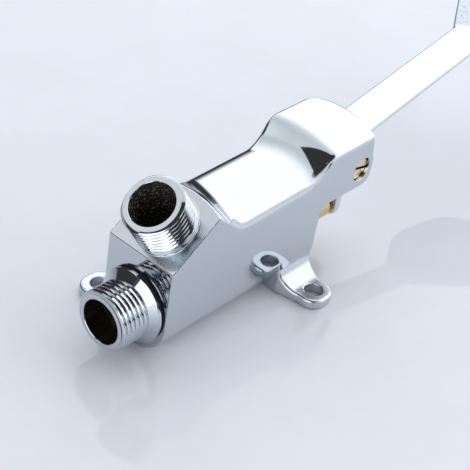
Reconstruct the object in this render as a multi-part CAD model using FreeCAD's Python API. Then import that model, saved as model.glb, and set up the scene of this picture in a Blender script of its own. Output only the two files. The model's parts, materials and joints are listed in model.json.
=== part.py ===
import FreeCAD
import Part
import math
import os
from FreeCAD import Placement, Rotation, Vector

os.makedirs("parts", exist_ok=True)

# Foot pedal tap valve. Millimetres, +Z up, +Y out of the inlet, the pedal towards -Y.
# The origin is on the floor, midway between the two fixing holes.

# Body casting
body_width = 28.2
front_y = 37.0
rear_y = -37.0
front_top_z = 35.3
belly_land = 7.6
shoulder_tilt = 35.4
shoulder_length = 23.1
valley_y = 9.4
valley_z = 41.6
valley_radius = 4.0
saddle_rear_z = 42.8
saddle_crown = 3.35
hood_ridge_y = -38.6
hood_ridge_z = 50.9
hood_slope_radius = 10.6
hood_top_end_z = 51.7
nose_y = -65.1
nose_bulge = 2.6
nose_top_setback = 3.0
nose_bottom_radius = 4.5
cheek_bottom_z = 30.0
throat_radius = 4.0
nose_widest_z = 36.5
nose_mid_setback = 0.6
nose_corner_share_y = 0.26
nose_corner_share_z = 0.36

# Space between the cheeks of the hood, its width set by the lever and its side washers
cavity_front_y = -44.0
cavity_top_z = 46.9
cavity_radius = 3.0

# Foot ears and their fixing holes
hole_x = 24.3
hole_y = 28.35
hole_radius = 3.3
ear_reach = 6.1
ear_half_length = 6.7
ear_corner_radius = 4.0
ear_thickness = 4.0
ear_root_radius = 6.0
ear_root_flare = 1.9
ear_flare_past_hole = 2.0

# G1/2 pipe thread, shared by both nipples
thread_radius = 10.478
thread_pitch = 1.814
thread_depth = 1.0
thread_flat = 0.36
thread_root = 0.16
thread_start_turn = 37.0
waterway_radius = 7.7
mouth_chamfer = 0.9

# Outlet nipple, cast with the body and square to its shoulder
outlet_up_slope = 12.2
outlet_length = 13.4
outlet_ring_radius = 11.2
outlet_ring_height = 0.4
outlet_root_depth = 2.0
outlet_bore_depth = 9.0
outlet_passage_radius = 5.0

# Valve axis, inlet nipple and seal ring
valve_z = 15.5
inlet_mouth_y = 51.8
collar_radius = 13.0
collar_thickness = 1.2
collar_cone = 0.15
relief_radius = 9.3
relief_width = 1.6
seal_ring_radius = 12.4
seal_ring_thickness = 0.8
spigot_radius = 9.6
spigot_length = 11.0
ledge_radius = 4.5
ledge_y = 41.5
ledge_width = 2.0
thread_fit = 0.05

# Valve seat and what closes on it
seat_thickness = 3.5
port_radius = 4.5
seat_lip_height = 0.5
seat_lip_width = 0.9
seat_groove_depth = 1.2
seat_groove_width = 1.7
washer_thickness = 2.0
holder_radius = 6.6
holder_thickness = 2.5
holder_rim = 0.8
holder_rim_share = 0.6
holder_clearance = 0.05
plate_radius = 3.7
plate_thickness = 1.0
nut_across_flats = 6.0
nut_thickness = 2.2
stem_radius = 2.5
stem_tip_radius = 1.75
stem_tip_length = 8.6
chamber_radius = 7.2
chamber_rear_y = -13.0

# Return spring
spring_wire = 0.9
spring_mean_radius = 5.6
spring_turns = 4.5

# Gland, stem seals and circlip
gland_bore_radius = 8.0
gland_clearance = 0.05
gland_rear_y = -34.0
gland_groove_y = -18.0
gland_groove_width = 2.2
gland_groove_depth = 1.5
seal_wire = 1.8
seal_recess_front_y = -15.2
seal_spacer_width = 1.6
seal_spacer_clearance = 0.2
retainer_thickness = 1.4
retainer_radius = 5.2
running_clearance = 0.05
circlip_thickness = 1.0
circlip_bite = 0.7
circlip_play = 0.05
circlip_inner_radius = 6.8
circlip_opening = 60.0

# Plunger
plunger_radius = 6.05
plunger_dome_radius = 14.0
plunger_inner_y = -30.2
plunger_thread_length = 8.0
rest_gap = 0.03

# Pivot
pivot_y = -57.7
pivot_z = 37.6
screw_shank_radius = 3.0
screw_head_radius = 4.2
screw_head_length = 2.4
screw_head_inset = 0.5
screw_recess_clearance = 0.3
screw_slot_width = 1.1
screw_slot_depth = 1.2
screw_slot_turn = 12.0
screw_far_inset = 1.2
bush_wall = 1.1
washer_outer_radius = 4.9
pivot_washer_thickness = 0.7
hub_side_play = 0.2

# Pedal lever
lever_width = 14.6
lever_tilt = 12.2
lever_thickness = 4.0
lever_edge_radius = 1.5
lever_top_above_pivot = 6.3
hub_radius = 5.4
leg_front_offset = -0.8
leg_thickness = 3.3
leg_bottom_z = 12.0
leg_corner_radius = 3.0
pedal_start = 86.2
pedal_lap = 3.0
neck_width = 15.0
pedal_width = 50.0
pedal_flare = 29.0
pedal_length = 98.0
pedal_thickness = 3.0
pedal_shoulder_radius = 60.0
pedal_end_flat = 2.0
pedal_corner_radius = (pedal_width - pedal_end_flat) / 2
pedal_edge_radius = 1.2

# How far a cutting shape runs past a face, and past the whole casting
past = 1.0
far_past = 20.0
headroom = 6.0

x_axis = Vector(1, 0, 0)
y_axis = Vector(0, 1, 0)
z_axis = Vector(0, 0, 1)
half_width = body_width / 2
cavity_width = lever_width + 2 * (pivot_washer_thickness + hub_side_play)
shoulder = math.radians(shoulder_tilt)
up_slope = Vector(0, -math.cos(shoulder), math.sin(shoulder))
outlet_axis = Vector(0, math.sin(shoulder), math.cos(shoulder))
outlet_foot = Vector(0, front_y, front_top_z) + up_slope * outlet_up_slope
collar_rear_y = front_y + seal_ring_thickness
collar_front_y = collar_rear_y + collar_thickness
spigot_end_y = front_y - spigot_length
seat_rear_y = spigot_end_y - seat_thickness
washer_rear_y = spigot_end_y + seat_lip_height
holder_rear_y = washer_rear_y + washer_thickness
holder_front_y = holder_rear_y + holder_thickness
plunger_tip_y = pivot_y + leg_front_offset + rest_gap


def cylinder(radius, start, end):
    """A round bar along Y between two places on the valve axis."""
    low = min(start, end)
    return Part.makeCylinder(radius, abs(end - start), Vector(0, low, valve_z), y_axis)


def tube(outer, inner, start, end):
    return cylinder(outer, start, end).cut(cylinder(inner, start - past, end + past))


def ring(mean_radius, wire_radius, y):
    """An O-ring round the valve axis."""
    return Part.makeTorus(mean_radius, wire_radius, Vector(0, y, valve_z), y_axis)


def face_of(edges):
    return Part.Face(Part.Wire(edges))


def line(a, b):
    return Part.LineSegment(a, b).toShape()


def arc(a, b, c):
    return Part.Arc(a, b, c).toShape()


def polygon(points):
    return [line(a, b) for a, b in zip(points, points[1:] + points[:1])]


def at_x(x, pairs):
    return [Vector(x, y, z) for y, z in pairs]


def rounded_outline(points, radii):
    """A closed outline whose corners are rounded, each with its own radius, 0 for a sharp one."""
    count = len(points)
    starts = []
    ends = []
    middles = []
    for index, point in enumerate(points):
        before = (points[index - 1] - point).normalize()
        after = (points[(index + 1) % count] - point).normalize()
        half_angle = before.getAngle(after) / 2
        radius = radii[index]
        reach = radius / math.tan(half_angle)
        starts.append(point + before * reach)
        ends.append(point + after * reach)
        bisector = (before + after).normalize()
        middles.append(point + bisector * (radius / math.sin(half_angle) - radius))
    edges = []
    for index in range(count):
        if radii[index] > 0:
            edges.append(arc(starts[index], middles[index], ends[index]))
        edges.append(line(ends[index], starts[(index + 1) % count]))
    return edges


def prism_x(edges, width):
    """A solid from an outline in the YZ plane at x = 0, spread evenly to both sides."""
    shape = face_of(edges).extrude(x_axis * width)
    shape.translate(x_axis * (-width / 2))
    return shape


# Body casting

def crown(x):
    """Height of the saddle above its edges at the walls, an arc across the body."""
    radius = (half_width ** 2 + saddle_crown ** 2) / (2 * saddle_crown)
    return math.sqrt(radius ** 2 - x ** 2) - (radius - saddle_crown)


def bulge(x):
    """How far the nose stands out beyond its place at the walls, an arc across the body."""
    radius = (half_width ** 2 + nose_bulge ** 2) / (2 * nose_bulge)
    return math.sqrt(radius ** 2 - x ** 2) - (radius - nose_bulge)


def trough_section(x, top_z):
    """Outline of the space over the saddle: back of the shoulder, valley, saddle, front of the hood."""
    rise = crown(x)
    crest = Vector(x, front_y, front_top_z) + up_slope * shoulder_length
    back = math.atan2(crest.z - valley_z, crest.y - valley_y)
    valley = Vector(x, valley_y, valley_z + rise)
    saddle_z = saddle_rear_z + rise
    centre_z = saddle_z + hood_slope_radius
    reach = math.sqrt(hood_slope_radius ** 2 - (centre_z - hood_ridge_z) ** 2)
    centre_y = hood_ridge_y + reach
    saddle_end = Vector(x, centre_y, saddle_z)
    ridge = Vector(x, hood_ridge_y, hood_ridge_z)
    turn = math.atan2(reach, centre_z - hood_ridge_z)
    halfway = Vector(x, centre_y - hood_slope_radius * math.sin(turn / 2),
                     centre_z - hood_slope_radius * math.cos(turn / 2))
    up_hood = Vector(0, -math.cos(turn), math.sin(turn))
    hood_top = ridge + up_hood * ((top_z - ridge.z) / math.sin(turn))
    up_back = Vector(0, math.cos(back), math.sin(back))
    back_top = valley + up_back * ((top_z - valley.z) / math.sin(back))
    along = (saddle_end - valley).normalize()
    half_angle = up_back.getAngle(along) / 2
    reach_in = valley_radius / math.tan(half_angle)
    middle = valley + (up_back + along).normalize() * (valley_radius / math.sin(half_angle) - valley_radius)
    valley_start = valley + up_back * reach_in
    valley_end = valley + along * reach_in
    return Part.Wire([
        line(back_top, valley_start),
        arc(valley_start, middle, valley_end),
        line(valley_end, saddle_end),
        arc(saddle_end, halfway, ridge),
        line(ridge, hood_top),
        line(hood_top, back_top),
    ])


def nose_section(x, top_z, low_z, far_y):
    """Outline of the space beyond the hood's rounded nose."""
    out = bulge(x)
    upper = Vector(x, nose_y + nose_top_setback - out, top_z)
    widest = Vector(x, nose_y - out, nose_widest_z)
    upper_mid = Vector(x, nose_y + nose_mid_setback - out, (upper.z + widest.z) / 2)
    lower = Vector(x, nose_y - out + nose_bottom_radius, cheek_bottom_z)
    corner_mid = Vector(x, lower.y - nose_bottom_radius * (1 - nose_corner_share_y),
                        lower.z + nose_bottom_radius * nose_corner_share_z)
    foot = Vector(x, lower.y, low_z)
    return Part.Wire([
        arc(upper, upper_mid, widest),
        arc(widest, corner_mid, lower),
        line(lower, foot),
        line(foot, Vector(x, far_y, low_z)),
        line(Vector(x, far_y, low_z), Vector(x, far_y, top_z)),
        line(Vector(x, far_y, top_z), upper),
    ])


def across(section, *values):
    """A loft of one outline over stations across the body, a little past both walls."""
    stations = [(half_width + past) * step / 4 for step in range(-4, 5)]
    return Part.makeLoft([section(x, *values) for x in stations], True, False)


def casting_block():
    top_z = hood_top_end_z
    far_y = nose_y - nose_bulge - past
    peak = Vector(0, front_y, front_top_z) + up_slope * (shoulder_length + headroom)
    points = at_x(0, [
        (front_y, 0), (front_y, front_top_z), (peak.y, peak.z), (hood_ridge_y, hood_ridge_z),
        (nose_y, top_z), (far_y, top_z), (far_y, cheek_bottom_z), (rear_y, cheek_bottom_z), (rear_y, 0),
    ])
    radii = [0] * len(points)
    radii[7] = throat_radius
    return prism_x(rounded_outline(points, radii), body_width)


def belly_prism():
    """A bar along Y with flat walls, a round belly and a narrow land to stand on."""
    long_y = front_y - nose_y + 2 * far_past
    belly_z = math.sqrt(half_width ** 2 - (belly_land / 2) ** 2)
    low = 2 * half_width
    section = [
        line(Vector(-half_width, 0, belly_z), Vector(-half_width, 0, 2 * low)),
        line(Vector(-half_width, 0, 2 * low), Vector(half_width, 0, 2 * low)),
        line(Vector(half_width, 0, 2 * low), Vector(half_width, 0, belly_z)),
        arc(Vector(half_width, 0, belly_z), Vector(0, 0, belly_z - half_width),
            Vector(-half_width, 0, belly_z)),
    ]
    bar = face_of(section).extrude(y_axis * long_y)
    bar.translate(Vector(0, nose_y - far_past, 0))
    return bar


def cavity():
    """Space between the cheeks: open towards the pedal and below, rounded at its inner top corner."""
    far_y = nose_y - nose_bulge - far_past
    points = at_x(0, [(cavity_front_y, 0), (cavity_front_y, cavity_top_z), (far_y, cavity_top_z), (far_y, 0)])
    return prism_x(rounded_outline(points, [0, cavity_radius, 0, 0]), cavity_width)


def ear():
    """The ear at the pedal end on the -X side, with its hole and a hollow root against the wall."""
    outer_x = -(hole_x + ear_reach)
    near_y = -hole_y + ear_half_length
    far_y = -hole_y - ear_half_length
    root_x = -half_width
    flare_x = -hole_x + ear_flare_past_hole
    plan = rounded_outline([
        Vector(0, near_y + ear_root_flare, 0), Vector(root_x, near_y + ear_root_flare, 0),
        Vector(flare_x, near_y, 0), Vector(outer_x, near_y, 0), Vector(outer_x, far_y, 0),
        Vector(flare_x, far_y, 0), Vector(root_x, rear_y, 0), Vector(0, rear_y, 0),
    ], [0, 0, 0, ear_corner_radius, ear_corner_radius, 0, 0, 0])
    tall = ear_thickness + ear_root_radius
    outline = face_of(plan).extrude(z_axis * tall)
    low = ear_root_radius * (1 - math.sqrt(0.5))
    side = [
        line(Vector(0, 0, 0), Vector(outer_x, 0, 0)),
        line(Vector(outer_x, 0, 0), Vector(outer_x, 0, ear_thickness)),
        line(Vector(outer_x, 0, ear_thickness), Vector(root_x - ear_root_radius, 0, ear_thickness)),
        arc(Vector(root_x - ear_root_radius, 0, ear_thickness), Vector(root_x - low, 0, ear_thickness + low),
            Vector(root_x, 0, tall)),
        line(Vector(root_x, 0, tall), Vector(0, 0, tall)),
        line(Vector(0, 0, tall), Vector(0, 0, 0)),
    ]
    length = near_y - far_y + far_past
    slab = face_of(side).extrude(y_axis * length)
    slab.translate(Vector(0, -hole_y - length / 2, 0))
    hole = Part.makeCylinder(hole_radius, ear_thickness + 2 * past, Vector(-hole_x, -hole_y, -past), z_axis)
    return slab.common(outline).cut(hole)


def thread_groove(length):
    """The helical V that is cut into a bar along Z, from below its foot to beyond its mouth."""
    mouth = thread_pitch - thread_flat
    overlap = 0.2
    widen = overlap * mouth / (2 * thread_depth)
    helix = Part.makeLongHelix(thread_pitch, length, thread_radius)
    section = Part.Wire(polygon([
        Vector(thread_radius - thread_depth, 0, -thread_root / 2),
        Vector(thread_radius + overlap, 0, -mouth / 2 - widen),
        Vector(thread_radius + overlap, 0, mouth / 2 + widen),
        Vector(thread_radius - thread_depth, 0, thread_root / 2),
    ]))
    groove = Part.Wire(helix.Edges).makePipeShell([section], True, True)
    groove.rotate(Vector(0, 0, 0), z_axis, thread_start_turn)
    return groove


def threaded_bar(length, start):
    """A thread along Z: true crests at the nominal radius, a chamfered mouth at the top."""
    bar = Part.makeCylinder(thread_radius, length)
    groove = thread_groove(length + 2 * thread_pitch - start)
    groove.translate(Vector(0, 0, start))
    bar = bar.cut(groove)
    tip = thread_radius - mouth_chamfer
    chamfer_foot = length - mouth_chamfer
    keep = Part.makeCylinder(thread_radius + past, chamfer_foot)
    return bar.common(keep.fuse(Part.makeCone(thread_radius, tip, mouth_chamfer, Vector(0, 0, chamfer_foot))))


def body():
    top_z = hood_top_end_z + 3 * headroom
    shape = casting_block().common(belly_prism())
    shape = shape.cut(across(trough_section, top_z))
    shape = shape.cut(across(nose_section, top_z, cheek_bottom_z - past, nose_y - nose_bulge - far_past))
    shape = shape.cut(cavity())
    turned = ear()
    turned.rotate(Vector(0, 0, 0), z_axis, 180)
    shape = shape.fuse([ear(), turned])
    slant = Placement(outlet_foot, Rotation(x_axis, -shoulder_tilt))
    nipple = threaded_bar(outlet_length, outlet_ring_height + thread_pitch)
    nipple = nipple.fuse(Part.makeCylinder(outlet_ring_radius, outlet_ring_height))
    root = Part.makeCylinder(thread_radius - thread_depth, outlet_root_depth, Vector(0, 0, -outlet_root_depth))
    nipple = nipple.fuse(root)
    nipple.Placement = slant
    shape = shape.fuse(nipple)
    inward = outlet_axis * -1
    mouth = outlet_foot + outlet_axis * (outlet_length + past)
    bore_length = outlet_length + past + outlet_bore_depth
    shape = shape.cut(Part.makeCylinder(waterway_radius, bore_length, mouth, inward))
    run = (outlet_foot.z - valve_z) / outlet_axis.z
    shape = shape.cut(Part.makeCylinder(outlet_passage_radius, run, outlet_foot, inward))
    shape = shape.cut(cylinder(spigot_radius + thread_fit, seat_rear_y, front_y + past))
    shape = shape.cut(cylinder(chamber_radius, chamber_rear_y - past, seat_rear_y + past))
    shape = shape.cut(cylinder(gland_bore_radius, rear_y - past, chamber_rear_y))
    groove_y = gland_rear_y - circlip_thickness
    shape = shape.cut(cylinder(gland_bore_radius + circlip_bite, groove_y - circlip_play, gland_rear_y))
    return shape.cut(screw_holes()).removeSplitter()


def x_bar(radius, start_x, end_x):
    """A round bar along the pivot axis."""
    return Part.makeCylinder(radius, end_x - start_x, Vector(start_x, pivot_y, pivot_z), x_axis)


def screw_holes():
    """Head recess and shank hole in the near cheek, threaded hole in the far cheek."""
    head_foot = -half_width + screw_head_inset + screw_head_length
    recess = x_bar(screw_head_radius + screw_recess_clearance, -half_width - past, head_foot)
    return recess.fuse(x_bar(screw_shank_radius + thread_fit, head_foot - past, half_width + past))


# Inlet side

def inlet_nipple():
    thread_length = inlet_mouth_y - collar_front_y
    bar = threaded_bar(thread_length, relief_width / 2)
    relief = Part.makeCylinder(thread_radius + past, relief_width)
    relief = relief.cut(Part.makeCylinder(relief_radius, relief_width))
    bar = bar.cut(relief)
    bar.Placement = Placement(Vector(0, collar_front_y, valve_z), Rotation(x_axis, -90))
    collar = cylinder(collar_radius, collar_rear_y, collar_front_y)
    face = Vector(0, collar_front_y, valve_z)
    cone = Part.makeCone(collar_radius, relief_radius, collar_cone, face, y_axis)
    spigot = cylinder(spigot_radius, spigot_end_y, collar_rear_y)
    shape = bar.fuse([collar, cone, spigot])
    ledge_front = ledge_y + ledge_width
    shape = shape.cut(cylinder(waterway_radius, ledge_front, inlet_mouth_y + past))
    shape = shape.cut(cylinder(ledge_radius, ledge_y - past, ledge_front + past))
    return shape.cut(cylinder(waterway_radius, spigot_end_y - past, ledge_y)).removeSplitter()


def inlet_seal_ring():
    return tube(seal_ring_radius, spigot_radius + thread_fit, front_y, collar_rear_y)


def valve_seat():
    shape = cylinder(spigot_radius, seat_rear_y, spigot_end_y)
    shape = shape.fuse(cylinder(port_radius + seat_lip_width, spigot_end_y, washer_rear_y))
    shape = shape.cut(cylinder(port_radius, seat_rear_y - past, washer_rear_y + past))
    middle = (seat_rear_y + spigot_end_y) / 2
    groove = tube(spigot_radius + past, spigot_radius - seat_groove_depth, middle - seat_groove_width / 2,
                  middle + seat_groove_width / 2)
    return shape.cut(groove)


def seat_o_ring():
    wire_radius = (seat_groove_depth + thread_fit) / 2
    middle = (seat_rear_y + spigot_end_y) / 2
    return ring(spigot_radius - seat_groove_depth + wire_radius, wire_radius, middle)


# What lifts off the seat

def valve_washer():
    return tube(holder_radius - holder_rim - holder_clearance, stem_tip_radius, washer_rear_y, holder_rear_y)


def poppet():
    """Cup that holds the rubber washer: a disc with a short rim round it."""
    shape = tube(holder_radius, stem_tip_radius, holder_rear_y, holder_front_y)
    rim = tube(holder_radius, holder_radius - holder_rim, holder_rear_y - washer_thickness * holder_rim_share,
               holder_rear_y)
    return shape.fuse(rim).removeSplitter()


def washer_plate():
    return tube(plate_radius, stem_tip_radius, washer_rear_y - plate_thickness, washer_rear_y)


def poppet_nut():
    across_corners = nut_across_flats / math.cos(math.radians(30)) / 2
    corners = []
    for step in range(6):
        turn = math.radians(60 * step)
        side = across_corners * math.sin(turn)
        corners.append(Vector(side, holder_front_y, valve_z + across_corners * math.cos(turn)))
    shape = face_of(polygon(corners)).extrude(y_axis * nut_thickness)
    return shape.cut(cylinder(stem_tip_radius, holder_front_y - past, holder_front_y + nut_thickness + past))


def stem():
    shoulder_y = washer_rear_y - plate_thickness
    thread_y = plunger_inner_y - plunger_thread_length
    shape = cylinder(stem_radius, thread_y, shoulder_y)
    return shape.fuse(cylinder(stem_tip_radius, shoulder_y, shoulder_y + stem_tip_length)).removeSplitter()


def plunger():
    """Round plunger with a domed end that the leg pushes, screwed on the stem's rear end."""
    drop = plunger_dome_radius - math.sqrt(plunger_dome_radius ** 2 - plunger_radius ** 2)
    shape = cylinder(plunger_radius, plunger_tip_y, plunger_inner_y)
    dome = Part.makeSphere(plunger_dome_radius, Vector(0, plunger_tip_y + plunger_dome_radius, valve_z))
    keep = dome.common(cylinder(plunger_radius, plunger_tip_y, plunger_tip_y + drop))
    shape = shape.cut(cylinder(plunger_radius + past, plunger_tip_y - past, plunger_tip_y + drop)).fuse(keep)
    inner = cylinder(stem_radius, plunger_inner_y - plunger_thread_length, plunger_inner_y + past)
    return shape.cut(inner).removeSplitter()


def return_spring():
    """One unbroken wire from the poppet to the nipple's ledge, its turns joined biarcs."""
    length = ledge_y - holder_front_y - spring_wire
    steps = round(spring_turns * 4)
    turn = math.pi / 2
    pitch_step = length / steps
    points = []
    for step in range(2 * steps + 1):
        angle = turn * step / 2
        points.append(Vector(spring_mean_radius * math.cos(angle),
                             holder_front_y + spring_wire / 2 + pitch_step * step / 2,
                             valve_z + spring_mean_radius * math.sin(angle)))
    rise = pitch_step / turn
    first = Vector(0, rise, spring_mean_radius).normalize()
    edges = []
    for start, middle, end in zip(points[0:-2:2], points[1:-1:2], points[2::2]):
        edges.append(arc(start, middle, end))
    path = Part.Wire(edges)
    section = Part.Wire([Part.Circle(points[0], first, spring_wire / 2).toShape()])
    return path.makePipeShell([section], True, False), pitch_step * 4 - spring_wire


# Gland end

def seal_ys():
    first = seal_recess_front_y - seal_wire / 2
    return first, first - seal_wire - seal_spacer_width


def recess_rear_y():
    return seal_ys()[1] - seal_wire / 2


def gland():
    outer = gland_bore_radius - gland_clearance
    shape = cylinder(outer, gland_rear_y, chamber_rear_y)
    groove = tube(outer + past, outer - gland_groove_depth, gland_groove_y,
                  gland_groove_y + gland_groove_width)
    shape = shape.cut(groove)
    shape = shape.cut(cylinder(stem_radius + running_clearance, gland_rear_y - past, chamber_rear_y + past))
    shape = shape.cut(cylinder(stem_radius + seal_wire, recess_rear_y() - past, seal_recess_front_y))
    shape = shape.cut(cylinder(retainer_radius, recess_rear_y() - retainer_thickness, recess_rear_y()))
    return shape.cut(cylinder(plunger_radius + running_clearance, gland_rear_y - past,
                              recess_rear_y() - retainer_thickness))


def gland_o_ring():
    wire_radius = (gland_groove_depth + gland_clearance) / 2
    outer = gland_bore_radius - wire_radius
    return ring(outer, wire_radius, gland_groove_y + gland_groove_width / 2)


def stem_seals():
    wire_radius = seal_wire / 2 - running_clearance
    return Part.makeCompound([ring(stem_radius + seal_wire / 2, wire_radius, y) for y in seal_ys()])


def seal_spacer():
    first, second = seal_ys()
    inner = stem_radius + seal_spacer_clearance
    return tube(stem_radius + seal_wire, inner, second + seal_wire / 2, first - seal_wire / 2)


def seal_retainer():
    inner = stem_radius + seal_spacer_clearance
    return tube(retainer_radius, inner, recess_rear_y() - retainer_thickness, recess_rear_y())


def gland_circlip():
    outer = gland_bore_radius + circlip_bite - circlip_play
    front = gland_rear_y
    shape = tube(outer, circlip_inner_radius, front - circlip_thickness, front)
    half = math.radians(circlip_opening / 2)
    far = 2 * outer
    wedge = polygon([
        Vector(0, front + past, valve_z),
        Vector(-far * math.sin(half), front + past, valve_z - far * math.cos(half)),
        Vector(far * math.sin(half), front + past, valve_z - far * math.cos(half)),
    ])
    return shape.cut(face_of(wedge).extrude(y_axis * -(circlip_thickness + 2 * past)))


# Pivot

def bush_radius():
    return screw_shank_radius + running_clearance + bush_wall


def pivot_screw():
    head_outer = -half_width + screw_head_inset
    head_foot = head_outer + screw_head_length
    shape = x_bar(screw_head_radius, head_outer, head_foot)
    shape = shape.fuse(x_bar(screw_shank_radius, head_foot, half_width - screw_far_inset))
    slot = Part.makeBox(screw_slot_depth, 4 * screw_head_radius, screw_slot_width,
                        Vector(head_outer, pivot_y - 2 * screw_head_radius, pivot_z - screw_slot_width / 2))
    slot.rotate(Vector(0, pivot_y, pivot_z), x_axis, screw_slot_turn)
    return shape.cut(slot).removeSplitter()


def pivot_bush():
    shape = x_bar(bush_radius(), -lever_width / 2, lever_width / 2)
    return shape.cut(x_bar(screw_shank_radius + running_clearance, -lever_width, lever_width))


def pivot_washers():
    """One washer against each cheek, with a little side play to the lever's hub."""
    solids = []
    outer_x = cavity_width / 2
    inner_x = outer_x - pivot_washer_thickness
    for start, end in ((-outer_x, -inner_x), (inner_x, outer_x)):
        washer = x_bar(washer_outer_radius, start, end)
        solids.append(washer.cut(x_bar(screw_shank_radius + thread_fit, start - past, end + past)))
    return Part.makeCompound(solids)


# Pedal lever

def lever_frame():
    """Turns a flat layout into place: its X stays, its Y runs out along the lever, its Z is square to it."""
    turn = Rotation(x_axis, -lever_tilt).multiply(Rotation(z_axis, 180))
    return Placement(Vector(0, pivot_y, pivot_z), turn)


def pedal_plan():
    """Outline of the pedal from its neck: straight flares, then a rounded paddle."""
    neck = neck_width / 2
    half = pedal_width / 2
    flare = (half - neck) / math.tan(math.radians(pedal_flare))
    end = pedal_start + pedal_length
    points = [
        Vector(neck, pedal_start, 0), Vector(half, pedal_start + flare, 0), Vector(half, end, 0),
        Vector(-half, end, 0), Vector(-half, pedal_start + flare, 0), Vector(-neck, pedal_start, 0),
    ]
    shoulder_radius = pedal_shoulder_radius
    end_radius = pedal_corner_radius
    radii = [0, shoulder_radius, end_radius, end_radius, shoulder_radius, 0]
    return rounded_outline(points, radii)


def lever_arm():
    """Flat bar from above the hub to the pedal's neck, its long edges rounded."""
    top = lever_top_above_pivot
    low = top - lever_thickness
    half = lever_width / 2
    corners = [Vector(-half, 0, low), Vector(half, 0, low), Vector(half, 0, top), Vector(-half, 0, top)]
    section = face_of(rounded_outline(corners, [lever_edge_radius] * 4))
    return section.extrude(y_axis * (pedal_start + pedal_lap))


def pedal_plate():
    plate = face_of(pedal_plan()).extrude(z_axis * pedal_thickness)
    plate.translate(z_axis * (lever_top_above_pivot - pedal_thickness))
    top = max(plate.Faces, key=lambda face: face.CenterOfMass.z)
    edges = [edge for edge in top.Edges if edge.CenterOfMass.y > pedal_start + past]
    return plate.makeFillet(pedal_edge_radius, edges)


def leg():
    """Short leg down from the hub, its front face flat where the plunger meets it."""
    front = pivot_y + leg_front_offset
    rear = front - leg_thickness
    half = lever_width / 2
    face = face_of(rounded_outline([
        Vector(-half, rear, pivot_z), Vector(half, rear, pivot_z),
        Vector(half, rear, leg_bottom_z), Vector(-half, rear, leg_bottom_z),
    ], [0, 0, leg_corner_radius, leg_corner_radius]))
    return face.extrude(y_axis * leg_thickness)


def pedal_lever():
    arm = lever_arm().fuse(pedal_plate())
    arm.Placement = lever_frame()
    hub = x_bar(hub_radius, -lever_width / 2, lever_width / 2)
    shape = arm.fuse([hub, leg(), lever_web()])
    return shape.cut(x_bar(bush_radius(), -lever_width, lever_width)).removeSplitter()


def lever_web():
    """Web between the arm and the hub."""
    top = lever_top_above_pivot - lever_edge_radius
    web = Part.makeBox(lever_width, 2 * hub_radius, top, Vector(-lever_width / 2, 0, 0))
    web.Placement = lever_frame().multiply(web.Placement)
    return web


spring, spring_gap = return_spring()
print("least gap between the return spring's turns: %.2f mm" % spring_gap)

nodes = {
    "body": body(),
    "inlet_nipple": inlet_nipple(),
    "inlet_seal_ring": inlet_seal_ring(),
    "valve_seat": valve_seat(),
    "seat_o_ring": seat_o_ring(),
    "valve_washer": valve_washer(),
    "poppet": poppet(),
    "washer_plate": washer_plate(),
    "poppet_nut": poppet_nut(),
    "stem": stem(),
    "plunger": plunger(),
    "return_spring": spring,
    "gland": gland(),
    "gland_o_ring": gland_o_ring(),
    "stem_seals": stem_seals(),
    "seal_spacer": seal_spacer(),
    "seal_retainer": seal_retainer(),
    "gland_circlip": gland_circlip(),
    "pivot_screw": pivot_screw(),
    "pivot_bush": pivot_bush(),
    "pivot_washers": pivot_washers(),
    "pedal_lever": pedal_lever(),
}

for name, shape in nodes.items():
    shape.exportStep("parts/%s.step" % name)
    print(name, len(shape.Solids), shape.isValid(), round(shape.Volume, 1))
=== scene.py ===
import json
import math

import bpy
import numpy as np
from mathutils import Matrix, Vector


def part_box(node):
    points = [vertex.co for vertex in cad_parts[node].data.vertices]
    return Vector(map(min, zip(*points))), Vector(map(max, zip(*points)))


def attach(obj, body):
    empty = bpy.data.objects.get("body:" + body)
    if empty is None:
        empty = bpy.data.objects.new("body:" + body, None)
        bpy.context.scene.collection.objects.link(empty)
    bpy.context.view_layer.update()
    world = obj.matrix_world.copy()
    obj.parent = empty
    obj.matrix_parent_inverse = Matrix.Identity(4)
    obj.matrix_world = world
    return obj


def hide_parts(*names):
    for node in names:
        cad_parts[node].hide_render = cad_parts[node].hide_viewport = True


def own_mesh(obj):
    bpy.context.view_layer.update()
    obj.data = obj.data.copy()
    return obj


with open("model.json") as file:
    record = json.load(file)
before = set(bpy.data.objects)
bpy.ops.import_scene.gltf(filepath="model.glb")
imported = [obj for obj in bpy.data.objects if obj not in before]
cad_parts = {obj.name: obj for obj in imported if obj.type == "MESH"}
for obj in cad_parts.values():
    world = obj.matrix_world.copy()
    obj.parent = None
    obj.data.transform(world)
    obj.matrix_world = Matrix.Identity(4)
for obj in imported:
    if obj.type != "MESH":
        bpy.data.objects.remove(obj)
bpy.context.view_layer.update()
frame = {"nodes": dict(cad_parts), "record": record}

# Foot pedal tap valve. Shapes are worked out in millimetres and become metres as a mesh is written.
metre = 0.001
mounts = {mount["name"]: mount for mount in frame["record"]["mounts"]}


def boxMm(node):
    low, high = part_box(node)
    return np.array(low) / metre, np.array(high) / metre


def mountMm(name):
    mount = mounts[name]
    return np.array(mount["pos_m"]) / metre, np.array(mount["axis"]), mount["dims"]


# Geometry tools

# How a surface's points are moved onto it
skin = {"steps": 6, "reach": 0.01, "leastSlope": 0.05, "longestMove": 0.3}


def between(low, high, share):
    return low + (high - low) * share


def roundMax(a, b, radius):
    # The inside that both share, its outer corner rounded: an arc of the radius where both are nearer.
    corner = np.hypot(np.maximum(a + radius, 0), np.maximum(b + radius, 0))
    return np.minimum(np.maximum(a, b), -radius) + corner


def roundMin(a, b, radius):
    # Either inside, with a hollow fillet of the radius where they meet.
    return -roundMax(-a, -b, radius)


def smoothStep(low, high, value):
    # 0 below low, 1 above high, 3t^2 - 2t^3 between.
    t = np.clip((value - low) / (high - low), 0, 1)
    return t * t * (3 - 2 * t)


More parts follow.
